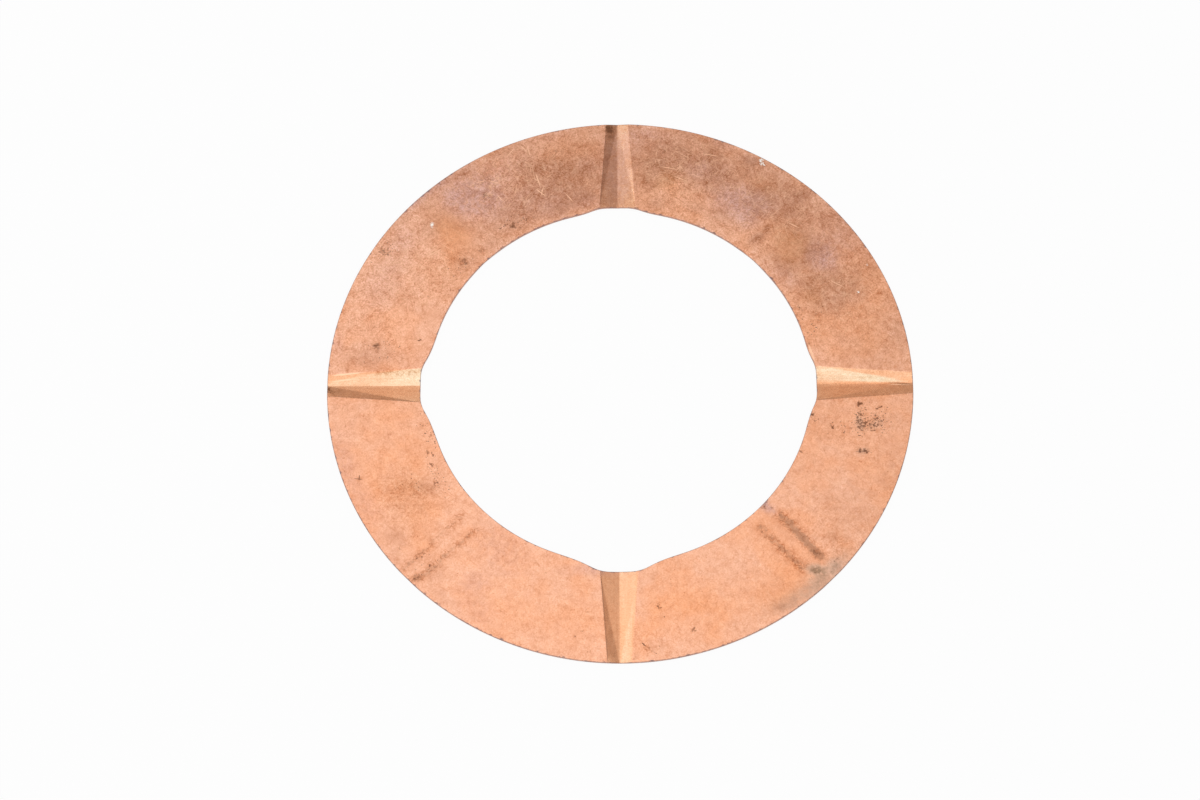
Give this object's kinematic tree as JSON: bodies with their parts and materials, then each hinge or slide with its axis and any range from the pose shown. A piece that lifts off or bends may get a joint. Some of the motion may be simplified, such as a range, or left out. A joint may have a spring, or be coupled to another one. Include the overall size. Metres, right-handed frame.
{
  "type": "thrust washer",
  "caption": "Thin flat copper ring with tapered oil grooves struck into both faces and a shallow notch in the bore at the inner end of each upper groove.",
  "frame": {"origin": "centre of the bore, at the underside", "axes": "+Z along the bore, out of the notched grooves' face; +X and +Y along two of that face's grooves"},
  "size_m": [0.1, 0.1, 0.0005],
  "materials": {
    "copper": "satin"
  },
  "bodies": {
    "root": {"thrust_washer": "copper"}
  },
  "joints": []
}
